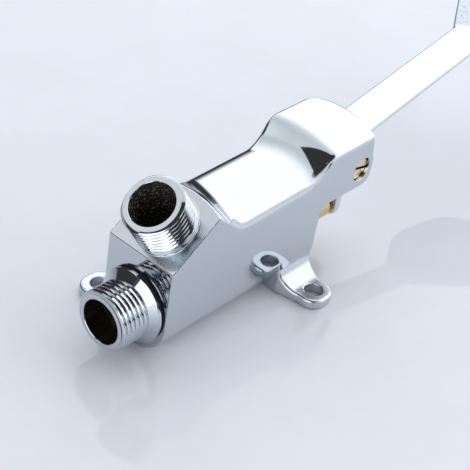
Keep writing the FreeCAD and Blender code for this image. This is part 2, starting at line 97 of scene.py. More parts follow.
def tube(first, second, along, radius, start, end):
    # A round bar: distance from its axis less the radius, and its two flat ends.
    return np.maximum(np.hypot(first, second) - radius, np.maximum(start - along, along - end))


def graded(stops):
    # Grid lines from one stop to the next, each stretch at its own step.
    lines = [np.array([stops[0][0]])]
    for (start, step), (end, _) in zip(stops, stops[1:]):
        count = max(1, int(round((end - start) / step)))
        lines.append(np.linspace(start, end, count + 1)[1:])
    return np.concatenate(lines)


def bothSides(right):
    # Grid lines from the middle outwards, repeated on the left.
    return np.concatenate([-right[:0:-1], right])


def slopeOf(solid, points):
    # Direction in which the solid's distance grows fastest, from differences over a short reach.
    slope, reach = np.empty_like(points), skin["reach"]
    for axis in range(3):
        ahead, behind = points.copy(), points.copy()
        ahead[:, axis] += reach
        behind[:, axis] -= reach
        slope[:, axis] = (solid(*ahead.T) - solid(*behind.T)) / (2 * reach)
    return slope


def skinOf(solid, xs, ys, zs):
    # The surface where solid(x, y, z) = 0: one point in each grid cell that it crosses, at the mean of the
    # cell's edge crossings, then moved along the slope until it lies on the surface.
    field = solid(*np.meshgrid(xs, ys, zs, indexing="ij"))
    inside = field < 0
    lines = (xs, ys, zs)
    shape = np.array(field.shape) - 1
    total = np.zeros(tuple(shape) + (3,))
    hits = np.zeros(tuple(shape))
    crossings = []
    for axis in range(3):
        near = [slice(None)] * 3
        far = [slice(None)] * 3
        near[axis], far[axis] = slice(None, -1), slice(1, None)
        a, b = field[tuple(near)], field[tuple(far)]
        crossed = inside[tuple(near)] != inside[tuple(far)]
        share = np.where(crossed, a / np.where(crossed, a - b, 1), 0)
        place = []
        for other in range(3):
            span = [1, 1, 1]
            if other == axis:
                start, step = lines[axis][:-1], np.diff(lines[axis])
                span[axis] = -1
                place.append(start.reshape(span) + share * step.reshape(span))
            else:
                span[other] = -1
                place.append(np.broadcast_to(lines[other].reshape(span), share.shape))
        place = np.stack(place, -1)
        sides = [other for other in range(3) if other != axis]
        for i in (0, 1):
            for j in (0, 1):
                pick = [slice(None)] * 3
                pick[sides[0]] = slice(i, i + shape[sides[0]])
                pick[sides[1]] = slice(j, j + shape[sides[1]])
                mask = crossed[tuple(pick)]
                total += np.where(mask[..., None], place[tuple(pick)], 0)
                hits += mask
        crossings.append((axis, sides, crossed, inside[tuple(near)]))
    active = hits > 0
    number = np.full(tuple(shape), -1)
    number[active] = np.arange(active.sum())
    points = total[active] / hits[active][:, None]
    quads = []
    for axis, (sideA, sideB), crossed, solidFirst in crossings:
        cell = np.array(np.nonzero(crossed)).T
        keep = (cell[:, sideA] > 0) & (cell[:, sideA] < shape[sideA])
        keep &= (cell[:, sideB] > 0) & (cell[:, sideB] < shape[sideB])
        cell = cell[keep]
        first = solidFirst[tuple(cell.T)]
        ring = []
        for backA, backB in ((1, 1), (0, 1), (0, 0), (1, 0)):
            corner = cell.copy()
            corner[:, sideA] -= backA
            corner[:, sideB] -= backB
            ring.append(number[tuple(corner.T)])
        ring = np.stack(ring, -1)
        outward = first if axis != 1 else ~first
        quads.append(np.where(outward[:, None], ring, ring[:, ::-1]))
    quads = np.concatenate(quads)
    for _ in range(skin["steps"]):
        slope = slopeOf(solid, points)
        size, longest = np.maximum((slope ** 2).sum(1), skin["leastSlope"]), skin["longestMove"]
        move = np.clip(solid(*points.T) / size, -longest, longest)
        points -= slope * move[:, None]
    slope = slopeOf(solid, points)
    return points, quads, slope / np.linalg.norm(slope, axis=1)[:, None]


def pieceFrom(name, points, faces, normals=None, sharp=None):
    # One mesh object at the origin from points in millimetres and faces of equal size.
    mesh = bpy.data.meshes.new(name)
    corners = faces.shape[1]
    mesh.vertices.add(len(points))
    mesh.vertices.foreach_set("co", (points * metre).astype(np.float32).ravel())
    mesh.loops.add(faces.size)
    mesh.loops.foreach_set("vertex_index", faces.astype(np.int32).ravel())
    mesh.polygons.add(len(faces))
    mesh.polygons.foreach_set("loop_start", np.arange(0, faces.size, corners, dtype=np.int32))
    mesh.polygons.foreach_set("use_smooth", np.ones(len(faces), dtype=bool))
    mesh.update(calc_edges=True)
    mesh.validate()
    if normals is not None:
        mesh.normals_split_custom_set_from_vertices(normals.astype(np.float32))
    if sharp is not None:
        mesh.set_sharp_from_angle(angle=math.radians(sharp))
    piece = bpy.data.objects.new(name, mesh)
    bpy.context.scene.collection.objects.link(piece)
    print(name, "points", len(points), "faces", len(faces))
    return piece


def closedGrid(rows, columns):
    # Faces of a grid that closes on itself both ways.
    i, j = np.meshgrid(np.arange(rows), np.arange(columns), indexing="ij")
    nextI, nextJ = (i + 1) % rows, (j + 1) % columns
    ring = [i * columns + j, nextI * columns + j, nextI * columns + nextJ, i * columns + nextJ]
    return np.stack(ring, -1).reshape(-1, 4)


# Material tools

class Value:
    # A number in a node tree: working with it adds Math nodes.
    def __init__(self, shade, socket):
        self.shade = shade
        self.socket = socket

    def math(self, operation, *others):
        return self.shade.node("Math", {"operation": operation}, dict(enumerate((self,) + others)))

    def __add__(self, other):
        return self.math("ADD", other)

    __radd__ = __add__

    def __sub__(self, other):
        return self.math("SUBTRACT", other)

    def __rsub__(self, other):
        return self.shade.node("Math", {"operation": "SUBTRACT"}, {0: other, 1: self})

    def __mul__(self, other):
        return self.math("MULTIPLY", other)

    __rmul__ = __mul__

    def __truediv__(self, other):
        return self.math("DIVIDE", other)

    def __pow__(self, other):
        return self.math("POWER", other)

    def soft(self, low, high):
        # 0 below low, 1 above high, smooth between.
        return self.shade.node("MapRange", {"interpolation_type": "SMOOTHSTEP"},
                               {"Value": self, "From Min": low, "From Max": high})


class Shade:
    # A material's or the world's node tree.
    def __init__(self, owner):
        owner.use_nodes = True
        self.owner = owner
        self.tree = owner.node_tree
        self.tree.nodes.clear()

    def node(self, kind, settings=None, inputs=None, out=0):
        # Any node: its settings, its inputs by name or number, and the output to work with.
        made = self.tree.nodes.new("ShaderNode" + kind)
        for key, setting in (settings or {}).items():
            setattr(made, key, setting)
        for key, content in (inputs or {}).items():
            if isinstance(content, Value):
                self.tree.links.new(content.socket, made.inputs[key])
            else:
                made.inputs[key].default_value = content
        return Value(self, made.outputs[out]) if len(made.outputs) else made

    def blend(self, share, first, second):
        # Mix of two colours.
        return self.node("Mix", {"data_type": "RGBA"}, {0: share, 6: first, 7: second}, out=2)

    def place(self):
        # Object coordinates, in metres.
        return self.node("TexCoord", out=3)

    def split(self, vector):
        parts = self.node("SeparateXYZ", None, {0: vector})
        outs = parts.socket.node.outputs
        return [Value(self, outs[index]) for index in range(3)]

    def noise(self, scale, detail=2.0, rough=0.5, vector=None):
        return self.node("TexNoise", None, {
            "Vector": vector or self.place(), "Scale": scale, "Detail": detail, "Roughness": rough})

    def bump(self, height, distance=1.0):
        # Heights are in metres at a distance of 1.
        return self.node("Bump", None, {"Height": height, "Distance": distance})

    def finish(self, inputs):
        # Gives the material its surface.
        surface = self.node("BsdfPrincipled", None, inputs)
        self.node("OutputMaterial", None, {"Surface": surface})
        return self.owner


def tinted(colour):
    return (*colour, 1.0)


def coat(piece, *materials):
    for material in materials:
        piece.data.materials.append(material)


# Finishes

chrome = {"dark": (0.56, 0.59, 0.625), "light": (0.59, 0.62, 0.655), "rough": 0.045, "roughSpread": 0.03,
          "waveScale": 60, "waveDepth": 0.000010, "grainScale": 900, "grainDepth": 0.0000003}
turned = dict(chrome, rough=0.04, waveDepth=0.0)
leverChrome = dict(chrome, dark=(0.68, 0.70, 0.73), light=(0.72, 0.74, 0.77), rough=0.10, waveScale=40)
brass = {"dark": (0.62, 0.42, 0.16), "light": (0.80, 0.60, 0.28), "rough": 0.24, "roughSpread": 0.08,
         "waveScale": 80, "waveDepth": 0.0, "grainScale": 1500, "grainDepth": 0.000001}
steel = {"dark": (0.50, 0.50, 0.51), "light": (0.60, 0.60, 0.61), "rough": 0.22, "roughSpread": 0.05,
         "waveScale": 80, "waveDepth": 0.0, "grainScale": 1500, "grainDepth": 0.000001}
rubber = {"dark": (0.010, 0.010, 0.011), "light": (0.022, 0.022, 0.024), "rough": 0.55, "roughSpread": 0.2,
          "grainScale": 1400, "detail": 3.0, "grainDepth": 0.00002}
plastic = {"dark": (0.70, 0.69, 0.66), "light": (0.78, 0.77, 0.74), "rough": 0.35, "roughSpread": 0.1,
           "grainScale": 900, "detail": 2.0, "grainDepth": 0.00001}


def plateOf(shade, look):
    # A metal's grain, the height of its grain and slow waves, and its colour, a little uneven with the grain.
    waves = shade.noise(look["waveScale"], 1.0)
    grain = shade.noise(look["grainScale"], 3.0)
    height = waves * look["waveDepth"] + grain * look["grainDepth"]
    return grain, height, shade.blend(grain, tinted(look["dark"]), tinted(look["light"]))


def metal(name, look):
    # A bare or plated metal.
    shade = Shade(bpy.data.materials.new(name))
    grain, height, colour = plateOf(shade, look)
    rough = look["rough"] + (grain - 0.5) * look["roughSpread"]
    return shade.finish({
        "Base Color": colour, "Metallic": 1.0, "Roughness": rough, "Normal": shade.bump(height)})


def dull(name, look):
    # Rubber or plastic: one fine grain in colour, roughness and height.
    shade = Shade(bpy.data.materials.new(name))
    grain = shade.noise(look["grainScale"], look["detail"])
    return shade.finish({
        "Base Color": shade.blend(grain, tinted(look["dark"]), tinted(look["light"])),
        "Roughness": look["rough"] + grain * look["roughSpread"],
        "Normal": shade.bump(grain, look["grainDepth"])})


gritty = {"dark": (0.022, 0.019, 0.016), "light": (0.70, 0.62, 0.50), "rough": 0.62, "speckRough": 0.2,
          "speckMetal": 0.4, "speckScale": 1300, "speckFrom": (0.54, 0.66), "gritScale": 1100,
          "gritDepth": 0.0006}


def roughBore():
    # Inside the waterway: nearly black, gritty as cast, a few bare specks that catch light.
    shade = Shade(bpy.data.materials.new("roughBore"))
    grit = shade.noise(gritty["gritScale"], 4.0, 0.7)
    speck = shade.noise(gritty["speckScale"], 3.0, 0.65).soft(*gritty["speckFrom"])
    return shade.finish({
        "Base Color": shade.blend(speck, tinted(gritty["dark"]), tinted(gritty["light"])),
        "Metallic": speck * gritty["speckMetal"], "Roughness": gritty["rough"] - speck * gritty["speckRough"],
        "Normal": shade.bump(grit, gritty["gritDepth"])})


darkBrass = {"dark": (0.034, 0.027, 0.014), "light": (0.095, 0.076, 0.040), "from": (0.35, 0.75), "metal": 0.7,
        "rough": 0.38, "streakRough": 0.1, "round": 420, "along": 30}


def turnedBore():
    # Bare brass inside the inlet, coloured very dark, with faint streaks along it.
    shade = Shade(bpy.data.materials.new("turnedBore"))
    x, y, z = shade.split(shade.place())
    spot = shade.node("CombineXYZ", None, {0: x * darkBrass["round"], 1: y * darkBrass["along"], 2: z * darkBrass["round"]})
    streak = shade.noise(1.0, 2.0, vector=spot)
    return shade.finish({
        "Base Color": shade.blend(streak.soft(*darkBrass["from"]), tinted(darkBrass["dark"]), tinted(darkBrass["light"])),
        "Metallic": darkBrass["metal"], "Roughness": darkBrass["rough"] - streak * darkBrass["streakRough"]})


# Body casting

cast = {
    "frontY": 37.0, "rearY": -37.0, "frontTopZ": 35.3, "land": 7.6, "shoulderLength": 23.1,
    "valleyY": 9.4, "valleyZ": 41.6, "valleyRadius": 4.0, "saddleZ": 42.8, "saddleCrown": 3.35,
    "ridgeY": -37.2, "ridgeZ": 51.3, "ridgeSkew": 0.10, "hollowRadius": 13.0,
    "hoodEndZ": 51.9, "hoodLean": 0.085, "hoodCrown": 1.1, "hoodSwell": 0.7, "swellRun": (26, 43),
    "noseY": -64.8, "noseBulge": 3.2, "noseSetback": 3.0, "noseWidestZ": 36.5, "noseLowRadius": 4.8,
    "noseSlope": 0.95, "noseNearCorner": 0.5, "noseCorner": 5.0, "cheekBottomZ": 30.0, "throatRadius": 4.0,
    "cavityFrontY": -44.0, "cavityTopZ": 46.9, "cavityRadius": 3.0, "sidePlay": 0.9,
    "earReach": 6.1, "earHalfLength": 6.7, "earCorner": 5.6, "earThickness": 3.7, "earRoot": 8.0,
    "earFlare": 1.9, "earFlarePast": 2.0, "earEdge": 1.0, "earFillet": 0.8, "earFlatten": 0.9,
    "crispEdge": 0.10, "softEdge": 3.8, "farEdge": 2.7, "hoodEdge": 1.8, "hoodFarEdge": 2.2, "crestEdge": 0.4,
    "ridgeNear": 2.6, "ridgeFar": 4.5, "innerEdge": 0.4, "bellyEdge": 0.3, "holeEdge": 0.3, "pivotEdge": 0.25,
    "nearToFar": (-4, 4), "saddleToHood": (24, 38), "shoulderFade": (6, 14), "saddleFade": (-34, -30),
    "hoodTopFade": (38, 42.5),
    "outletDepth": 9.0, "passageRadius": 5.0, "spigotRadius": 9.65, "spigotEndY": 26.0, "seatRearY": 22.5,
    "chamberRadius": 7.2, "chamberRearY": -13.0, "glandRadius": 8.0, "screwInset": 1.2,
    "recessRadius": 4.5, "recessDepth": 2.9, "shankRadius": 3.05, "past": 5, "overlap": 1,
}
# Where the casting counts as bore: a thin skin on the walls, between these places along both axes
boreWalls = {"skin": 0.05, "outletRun": (-40, 1), "behindFront": 1, "frontPast": 0.1, "rearInset": 0.4}
# Grid lines across from the middle, along and up; each stretch has its step
bodyGrid = {
    "cheekBand": 1.2, "wallIn": 1.6, "wallOut": 1.0, "past": 1.5,
    "acrossSteps": (1.0, 0.4, 0.8, 0.32, 0.6, 0),
    "along": [(-69.4, 0.45), (-36, 0.8), (-26, 0.9), (3, 0.5), (39, 0)],
    "up": [(-1.03, 0.5), (5, 0.7), (14, 1.2), (27.6, 0.6), (34, 0.45), (55, 0)],
}
# Turned marks round the nipples, in metres, and duller ears, their blend in millimetres
facing = {"reach": 0.019, "fade": 0.8, "depth": (0.0002, 0.0004), "pitch": 2200, "round": 22, "rough": 0.14,
          "earRough": 0.20, "earBlend": 1.5, "outletDepth": 0.000003, "inletDepth": 0.0000006}

outletPos, outletAxis, outletDims = mountMm("outlet_thread")
threadRadius = outletDims["r_mm"]
waterwayRadius = mountMm("outlet_bore")[2]["r_mm"]
valveZ = mountMm("inlet_thread")[0][2]
tilt = math.atan2(outletAxis[1], outletAxis[2])
screwLow, screwHigh = boxMm("pivot_screw")
leverHalf = boxMm("pivot_bush")[1][0]
halfWidth = screwHigh[0] + cast["screwInset"]
cavityHalf = leverHalf + cast["sidePlay"]
pivotY, pivotZ = (screwLow[1:] + screwHigh[1:]) / 2
holePos, _, holeDims = mountMm("fixing_hole_inlet_end")


def arcRise(x, rise):
    # Height of a flat arc over the body's width: rise in the middle, 0 at the walls. Its radius is half the
    # width squared plus the rise squared, over twice the rise.
    radius = (halfWidth ** 2 + rise ** 2) / (2 * rise)
    return np.sqrt(radius ** 2 - np.clip(x, -halfWidth - 1, halfWidth + 1) ** 2) - (radius - rise)


def outletFoot():
    # Where the outlet's axis meets the slanted shoulder.
    edge = np.array([0, cast["frontY"], cast["frontTopZ"]])
    return outletPos - outletAxis * np.dot(outletPos - edge, outletAxis)


def outletPlaces(y, z):
    # How far a point is along the outlet's axis from the shoulder, and beside it.
    foot = outletFoot()
    along = (y - foot[1]) * math.sin(tilt) + (z - foot[2]) * math.cos(tilt)
    side = (y - foot[1]) * math.cos(tilt) - (z - foot[2]) * math.sin(tilt)
    return along, side


def earSolid(x, y, z):
    # The ear at the pedal end on the -X side: a slab with rounded corners. Its top rises into the wall along
    # a quarter circle, and its sides flare out with it.
    outer = -(holePos[0] + cast["earReach"])
    near, far = -holePos[1] + cast["earHalfLength"], -holePos[1] - cast["earHalfLength"]
    bend = -holePos[0] + cast["earFlarePast"]
    flare = np.clip((x - bend) / (-halfWidth - bend), 0, 1)
    plan = roundMax(outer - x, y - (near + cast["earFlare"] * flare), cast["earCorner"])
    plan = np.maximum(plan, x + halfWidth / 2)
    plan = roundMax(plan, (far + (cast["rearY"] - far) * flare) - y, cast["earCorner"])
    root = cast["earRoot"]
    run = np.clip(root - (-halfWidth - x), 0, root)
    top = cast["earThickness"] + root - np.sqrt(root ** 2 - run ** 2)
    rise = (z - top) * np.sqrt(1 - cast["earFlatten"] * (run / root) ** 2)
    slab = np.maximum(roundMax(plan, rise, cast["earEdge"]), -z)
    hole = np.hypot(x + holePos[0], y + holePos[1]) - holeDims["r_mm"]
    return roundMax(slab, -hole, cast["holeEdge"])


def topOf(x, y, z):
    # Distance above the casting's back, from the front: the slanted shoulder, a slope down from its crest,
    # the straight saddle, a round hollow and the hood's top. Behind the crest all is crowned across.
    crown = arcRise(x, cast["saddleCrown"])
    across, up = math.sin(tilt), math.cos(tilt)
    shoulder = (y - cast["frontY"]) * across + (z - cast["frontTopZ"]) * up
    front = roundMax(y - cast["frontY"], shoulder, cast["crispEdge"])
    crestY = cast["frontY"] - up * cast["shoulderLength"]
    crestZ = cast["frontTopZ"] + across * cast["shoulderLength"]
    drop = math.atan2(crestZ - cast["valleyZ"], crestY - cast["valleyY"])
    slope = -(y - cast["valleyY"]) * math.sin(drop) + (z - cast["valleyZ"] - crown) * math.cos(drop)
    radius = cast["hollowRadius"]
    centreZ = cast["saddleZ"] + crown + radius
    centreY = cast["ridgeY"] + cast["ridgeSkew"] * x + np.sqrt(radius ** 2 - (centreZ - cast["ridgeZ"]) ** 2)
    fall = (cast["saddleZ"] - cast["valleyZ"]) / (centreY - cast["valleyY"])
    saddle = (z - crown - cast["valleyZ"] - (y - cast["valleyY"]) * fall) / np.sqrt(1 + fall ** 2)
    hollow = radius - np.where(z < centreZ, np.hypot(y - centreY, z - centreZ), centreY - y)
    trough = roundMin(slope, np.where(y < centreY, hollow, saddle), cast["valleyRadius"])
    climb = (cast["hoodEndZ"] - cast["ridgeZ"]) / (cast["noseY"] - cast["ridgeY"])
    hoodTop = z - cast["ridgeZ"] - (y - cast["ridgeY"]) * climb - cast["hoodLean"] * x
    hoodTop = hoodTop - arcRise(x, cast["hoodCrown"])
    ridge = between(cast["ridgeNear"], cast["ridgeFar"], smoothStep(-halfWidth, halfWidth, x))
    return np.where(y > 0, roundMax(front, trough, cast["crestEdge"]), roundMax(hoodTop, trough, ridge))


def noseOf(x, y, z):
    # Distance past the hood's end, which bulges in the middle and, above its widest place, leans back with
    # the square of the height.
    above = (z - cast["noseWidestZ"]) / (cast["hoodEndZ"] - cast["noseWidestZ"])
    setback = cast["noseSetback"] * np.where(above > 0, above, 0) ** 2
    return (cast["noseY"] + setback - arcRise(x, cast["noseBulge"]) - y) * cast["noseSlope"]


def outsideOf(x, y, z):
    # The casting before its holes: a U section along Y, cut to the side profile, with the two ears. The edge
    # between sides and back is crisp at the shoulder and soft along saddle and hood.
    bellyZ = math.sqrt(halfWidth ** 2 - (cast["land"] / 2) ** 2)
    swell = cast["hoodSwell"] * smoothStep(*cast["swellRun"], -y)
    gutter = np.where(z > bellyZ, np.abs(x), np.hypot(x, z - bellyZ)) - halfWidth - swell
    gutter = roundMax(gutter, -z, cast["bellyEdge"])
    nose = noseOf(x, y, z)
    low = roundMax(nose, cast["cheekBottomZ"] - z, cast["noseLowRadius"])
    under = roundMin(cast["rearY"] - y, low, cast["throatRadius"])
    near = 1 - smoothStep(*cast["nearToFar"], x)
    saddleEdge = between(cast["farEdge"], cast["softEdge"], near)
    hoodEdge = between(cast["hoodFarEdge"], cast["hoodEdge"], near)
    topEdge = between(saddleEdge, hoodEdge, smoothStep(*cast["saddleToHood"], -y))
    onTop = np.maximum(smoothStep(*cast["hoodTopFade"], z), smoothStep(*cast["saddleFade"], y))
    edge = between(cast["crispEdge"], topEdge, (1 - smoothStep(*cast["shoulderFade"], y)) * onTop)
    profile = roundMax(topOf(x, y, z), under, cast["crispEdge"])
    sides = roundMax(gutter, nose, between(cast["noseNearCorner"], cast["noseCorner"], 1 - near))
    ears = np.minimum(earSolid(x, y, z), earSolid(-x, -y, z))
    return roundMin(roundMax(sides, profile, edge), ears, cast["earFillet"])


def waterways(x, y, z):
    # Round bars: spigot, chamber and gland on the valve's axis, outlet and passage on the slanted one.
    onAxis = (x, z - valveZ, y)
    spigot = tube(*onAxis, cast["spigotRadius"], cast["seatRearY"], cast["frontY"] + cast["past"])
    chamber = tube(*onAxis, cast["chamberRadius"], cast["chamberRearY"] - cast["overlap"],
                   cast["seatRearY"] + cast["overlap"])
    gland = tube(*onAxis, cast["glandRadius"], cast["rearY"] - cast["past"], cast["chamberRearY"])
    along, side = outletPlaces(y, z)
    outlet = tube(x, side, along, waterwayRadius, -cast["outletDepth"], cast["past"])
    depth = (outletFoot()[2] - valveZ) / math.cos(tilt)
    passage = tube(x, side, along, cast["passageRadius"], -depth, 0)
    return np.minimum(np.minimum(spigot, chamber), np.minimum(gland, np.minimum(outlet, passage)))


def bodySolid(x, y, z):
    # Distance-like value, below 0 in the casting: its outside less the lever's cavity, screw and bores.
    cavity = roundMax(y - cast["cavityFrontY"], z - cast["cavityTopZ"], cast["cavityRadius"])
    cavity = np.maximum(cavity, np.abs(x) - cavityHalf)
    fromPivot = (y - pivotY, z - pivotZ, x)
    recess = tube(*fromPivot, cast["recessRadius"], -halfWidth - cast["past"],
                  -halfWidth + cast["recessDepth"])
    shank = tube(*fromPivot, cast["shankRadius"], -halfWidth, halfWidth + cast["past"])
    solid = roundMax(outsideOf(x, y, z), -cavity, cast["innerEdge"])
    solid = roundMax(solid, -np.minimum(recess, shank), cast["pivotEdge"])
    return roundMax(solid, -waterways(x, y, z), cast["holeEdge"])


def insideBores(points):
    # Which points lie on the walls of the waterways and the gland's bore.
    x, y, z = points.T
    along, side = outletPlaces(y, z)
    start, end = boreWalls["outletRun"]
    outlet = (np.hypot(x, side) < waterwayRadius + boreWalls["skin"]) & (along > start) & (along < end)
    outlet = outlet & (y < cast["frontY"] - boreWalls["behindFront"])
    onAxis = np.hypot(x, z - valveZ) < cast["spigotRadius"] + boreWalls["skin"]
    onAxis = onAxis & (y < cast["frontY"] + boreWalls["frontPast"])
    onAxis = onAxis & (y > cast["rearY"] + boreWalls["rearInset"])
    return outlet | onAxis


def ringMarks(shade, centre, axis):
    # Marks that a facing tool leaves round an axis: noise that changes quickly with the radius and slowly
    # round it, and where the face is.
    x, y, z = shade.split(shade.place())
    dx, dy, dz = x - float(centre[0]), y - float(centre[1]), z - float(centre[2])
    along = dy * float(axis[1]) + dz * float(axis[2])
    side = dy * float(axis[2]) - dz * float(axis[1])
    radius = (dx * dx + side * side) ** 0.5
    spot = shade.node("CombineXYZ", None, {
        0: radius * facing["pitch"], 1: dx * facing["round"], 2: side * facing["round"]})
    marks = shade.noise(1.0, 0.5, 0.5, vector=spot)
    beyond = radius.soft(facing["reach"] * facing["fade"], facing["reach"])
    near = (1 - beyond) * (1 - along.math("ABSOLUTE").soft(*facing["depth"]))
    return marks, near


def castingChrome():
    # Polished plate: slight waves, turned marks on the two faces round the nipples, duller ears.
    shade = Shade(bpy.data.materials.new("chromeCasting"))
    grain, height, colour = plateOf(shade, chrome)
    face = np.array([0, cast["frontY"] * metre, valveZ * metre])
    inletMarks, inletNear = ringMarks(shade, face, (0, 1.0, 0))
    outletMarks, outletNear = ringMarks(shade, outletFoot() * metre, outletAxis)
    marks = inletMarks * inletNear * facing["inletDepth"] + outletMarks * outletNear * facing["outletDepth"]
    across = shade.split(shade.place())[0].math("ABSOLUTE")
    wall = float(halfWidth)
    ear = across.soft(wall * metre, (wall + facing["earBlend"]) * metre)
    rough = chrome["rough"] + (grain - 0.5) * chrome["roughSpread"] + outletNear * facing["rough"]
    rough = rough + ear * facing["earRough"]
    return shade.finish({
        "Base Color": colour, "Metallic": 1.0, "Roughness": rough, "Normal": shade.bump(height + marks)})


def makeBody():
    places = (0, cavityHalf - bodyGrid["cheekBand"], cavityHalf + bodyGrid["cheekBand"],
              halfWidth - bodyGrid["wallIn"], halfWidth + bodyGrid["wallOut"],
              holePos[0] + cast["earReach"] + bodyGrid["past"])
    xs = bothSides(graded(list(zip(places, bodyGrid["acrossSteps"]))))
    points, faces, normals = skinOf(bodySolid, xs, graded(bodyGrid["along"]), graded(bodyGrid["up"]))
    piece = pieceFrom("bodyCasting", points, faces, normals)
    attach(piece, "valve")
    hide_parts("body")
    coat(piece, castingChrome(), roughBore())
    middle = points[faces].mean(1)
    piece.data.polygons.foreach_set("material_index", insideBores(middle).astype(np.int32))


# Threaded nipples

thread = {"pitch": 1.814, "depth": 1.0, "crest": 0.26, "root": 0.12, "chamfer": 1.0, "chamferRun": 0.45,
          "boreEdge": 0.12, "rimEdge": 0.1, "rimDrop": 0.05, "past": 2, "runOut": 0.5, "wall": 0.6,
          "play": 0.01, "around": 180, "step": 0.14, "sharp": 32}
slanted = {"length": 13.4, "sink": 2.0, "ringRadius": 11.2, "ringHeight": 0.4, "ringEdge": 0.1,
           "neck": 0.15, "neckRun": 0.2, "threadGap": 0.5, "runIn": 0.8}
level = {"collar": 1.2, "collarEdge": 0.2, "collarRearEdge": 0.25, "cone": 1.9, "relief": 9.9,
         "reliefWidth": 2.3, "reliefFoot": 0.1, "reliefRise": 0.3, "threadLap": 0.4, "runIn": 0.5,
         "spigotRadius": 9.6, "ledgeY": 41.5, "ledgeWidth": 2.0, "ledgeRadius": 4.5}


def threadCut(phase):
    # Depth of the V groove over one pitch: 0 on the crest, straight flanks, full at the root.
    t = np.abs((phase % 1) - 0.5) * thread["pitch"]
    flank = (thread["pitch"] - thread["crest"] - thread["root"]) / 2
    return thread["depth"] * np.clip((thread["pitch"] / 2 - thread["crest"] / 2 - t) / flank, 0, 1)


def helixCut(start, end, runIn):
    # The groove between two places along the axis, fading in and out; only the outer wall has it.
    def cut(angle, place, radius):
        phase = (place - start) / thread["pitch"] - angle / (2 * math.pi)
        fade = np.clip((place - start) / runIn, 0, 1) * np.clip((end - place) / thread["runOut"], 0, 1)
        outer = radius > waterwayRadius + thread["wall"]
        onThread = radius > threadRadius - thread["chamfer"] - thread["play"]
        return np.where(outer, threadCut(phase) * fade, 0) * onThread
    return cut


def mouthStops(length):
    # From the bore over the flat mouth and down the chamfer to the thread.
    tip = threadRadius - thread["chamfer"]
    return [
        (waterwayRadius, length - thread["boreEdge"]), (waterwayRadius + thread["boreEdge"], length),
        (tip - thread["rimEdge"], length), (tip, length - thread["rimDrop"]),
        (threadRadius, length - thread["chamferRun"]),
    ]


def turnedPiece(name, stops, centre, axis, cut, boreRuns):
    # A profile of (radius, place) stops turned about an axis, closed on itself; cut(angle, place, radius)
    # deepens its threaded stretch. Stops are joined by straight runs divided at the thread's step.
    runs = []
    for (r0, a0), (r1, a1) in zip(stops, stops[1:] + stops[:1]):
        count = max(1, int(round(math.hypot(r1 - r0, a1 - a0) / thread["step"])))
        share = np.arange(count) / count
        runs.append(np.stack([r0 + (r1 - r0) * share, a0 + (a1 - a0) * share], -1))
    profile = np.concatenate(runs)
    angle = np.linspace(0, 2 * math.pi, thread["around"], endpoint=False)
    radius, place = profile[:, :1], profile[:, 1:]
    radius = radius - cut(angle[None, :], place, radius)
    along = np.broadcast_to(place, radius.shape)
    axis = np.array(axis) / np.linalg.norm(axis)
    sideA = np.array([1.0, 0, 0])
    sideB = np.cross(axis, sideA)
    points = (centre + along[..., None] * axis + (radius * np.cos(angle))[..., None] * sideA
              + (radius * np.sin(angle))[..., None] * sideB)
    faces = closedGrid(len(profile), thread["around"])
    piece = pieceFrom(name, points.reshape(-1, 3), faces, sharp=thread["sharp"])
    bore = np.concatenate([np.full(len(run), index in boreRuns) for index, run in enumerate(runs)])
    piece.data.polygons.foreach_set("material_index", np.repeat(bore, thread["around"]).astype(np.int32))
    return piece


def outletNipple():
    # Bore, mouth, thread, a small neck and a flat ring on the shoulder, sunk into the casting.
    ringRadius, ringHeight = slanted["ringRadius"], slanted["ringHeight"]
    stops = [(waterwayRadius, -slanted["sink"])] + mouthStops(slanted["length"]) + [
        (threadRadius, ringHeight + slanted["neckRun"]), (threadRadius + slanted["neck"], ringHeight),
        (ringRadius - slanted["ringEdge"], ringHeight), (ringRadius, ringHeight - slanted["ringEdge"]),
        (ringRadius, -slanted["sink"]),
    ]
    cut = helixCut(ringHeight + slanted["threadGap"], slanted["length"] + thread["past"], slanted["runIn"])
    piece = turnedPiece("outletNipple", stops, outletFoot(), outletAxis, cut, (0,))
    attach(piece, "valve")
    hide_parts("body")
    coat(piece, metal("chromeThread", turned), roughBore())


def inletNipple():
    # Bore, mouth, thread, relief, coned collar and spigot, with a ledge inside for the spring.
    low, high = boxMm("inlet_nipple")
    collarY = boxMm("inlet_seal_ring")[1][1] + level["collar"]
    length = high[1] - collarY
    radius = (high[0] - low[0]) / 2
    relief, width = level["relief"], level["reliefWidth"]
    ledgeRear = level["ledgeY"] - collarY
    ledgeFront = level["ledgeY"] + level["ledgeWidth"] - collarY
    spigotEnd = cast["spigotEndY"] - collarY
    stops = [(waterwayRadius, ledgeFront)] + mouthStops(length) + [
        (threadRadius, width + level["reliefRise"]), (relief, width - level["reliefFoot"]),
        (relief, level["cone"]), (radius - level["collarEdge"], 0.0), (radius, -level["collarEdge"]),
        (radius, level["collarRearEdge"] - level["collar"]),
        (radius - level["collarRearEdge"], -level["collar"]),
        (level["spigotRadius"], -level["collar"]), (level["spigotRadius"], spigotEnd),
        (waterwayRadius, spigotEnd), (waterwayRadius, ledgeRear),
        (level["ledgeRadius"], ledgeRear), (level["ledgeRadius"], ledgeFront),
    ]
    cut = helixCut(width - level["threadLap"], length + thread["past"], level["runIn"])
    bores = (0,) + tuple(range(len(stops) - 4, len(stops)))
    piece = turnedPiece("inletNipple", stops, np.array([0, collarY, valveZ]), (0, 1, 0), cut, bores)
    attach(piece, "valve")
    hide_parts("inlet_nipple")
    coat(piece, metal("chromeNipple", turned), turnedBore())


# Return spring

spring = {"wire": 0.9, "radius": 5.6, "turns": 4.5, "steps": 300, "around": 20, "travel": 5.1, "capRings": 4,
          "capLeast": 0.02}


